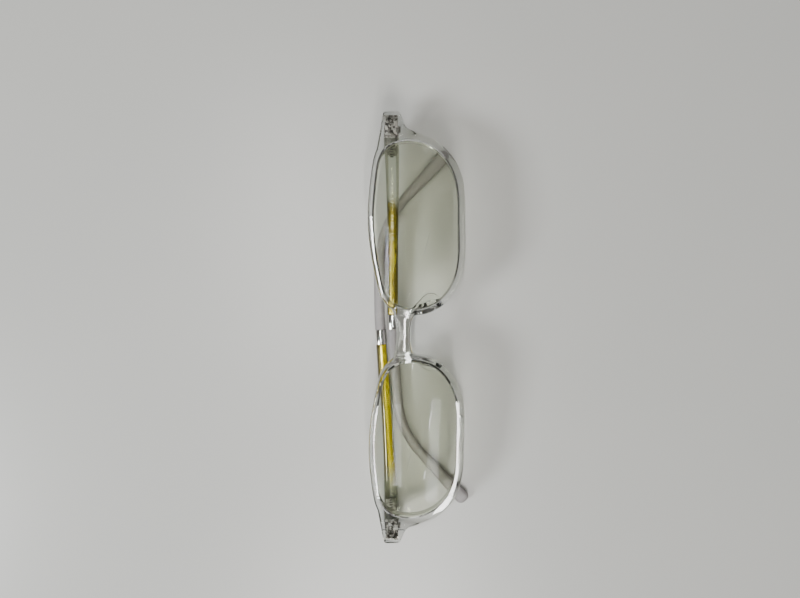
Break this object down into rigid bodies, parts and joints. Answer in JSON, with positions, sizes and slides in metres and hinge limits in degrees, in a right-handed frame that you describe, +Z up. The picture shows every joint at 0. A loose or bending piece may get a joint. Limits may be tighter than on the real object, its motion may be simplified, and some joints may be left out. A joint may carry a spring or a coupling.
{
  "type": "broken eyeglasses",
  "caption": "Full-rim clear plastic eyeglasses, folded face up, with minus lenses, bent grey temple tips, a cracked lower rim and a temple skewed on its hinge.",
  "frame": {"origin": "middle of the bounding box on the surface that the folded pair lies on", "axes": "+X to the wearer's left along the front, +Y to the brow, +Z up, the way the front faces"},
  "size_m": [0.1396, 0.0342, 0.0207],
  "materials": {
    "clear_plastic": "clear, polished, faintly scuffed",
    "lens_plastic": "clear coated lens with a faint green-grey tint",
    "hinge_steel": "dull, dirty",
    "temple_plastic": "clear at the hinge, metallic yellow coat behind, worn at its edge",
    "bright_metal": "polished",
    "tip_rubber": "satin grey",
    "wire_steel": "drawn wire"
  },
  "bodies": {
    "front": {"front_frame": "clear_plastic", "left_lens": "lens_plastic", "right_lens": "lens_plastic", "left_nose_pad": "clear_plastic", "right_nose_pad": "clear_plastic", "left_front_hinge_leaf": "hinge_steel", "right_front_hinge_leaf": "hinge_steel", "left_hinge_screw": "hinge_steel", "right_hinge_screw": "hinge_steel"},
    "left_arm": {"left_temple": "temple_plastic", "left_temple_hinge_leaf": "hinge_steel", "left_ferrule": "bright_metal", "left_temple_tip": "tip_rubber", "left_core_wire": "wire_steel"},
    "right_arm": {"right_temple": "temple_plastic", "right_temple_hinge_leaf": "hinge_steel", "right_ferrule": "bright_metal", "right_temple_tip": "tip_rubber", "right_core_wire": "wire_steel"}
  },
  "joints": [
    {"name": "right_temple_hinge", "type": "hinge", "parent": "front", "child": "right_arm", "pos_m": [-0.06391, 0.00931, 0.00587], "axis": [0, 0.9992, -0.0391], "range_deg": [0, 90]},
    {"name": "left_temple_hinge", "type": "hinge", "parent": "front", "child": "left_arm", "pos_m": [0.06402, 0.00948, 0.01005], "axis": [0, -0.9992, 0.0391], "range_deg": [0, 90]}
  ],
  "couplings": [
    {"joint": "left_temple_hinge", "follows": "right_temple_hinge", "ratio": 1}
  ]
}
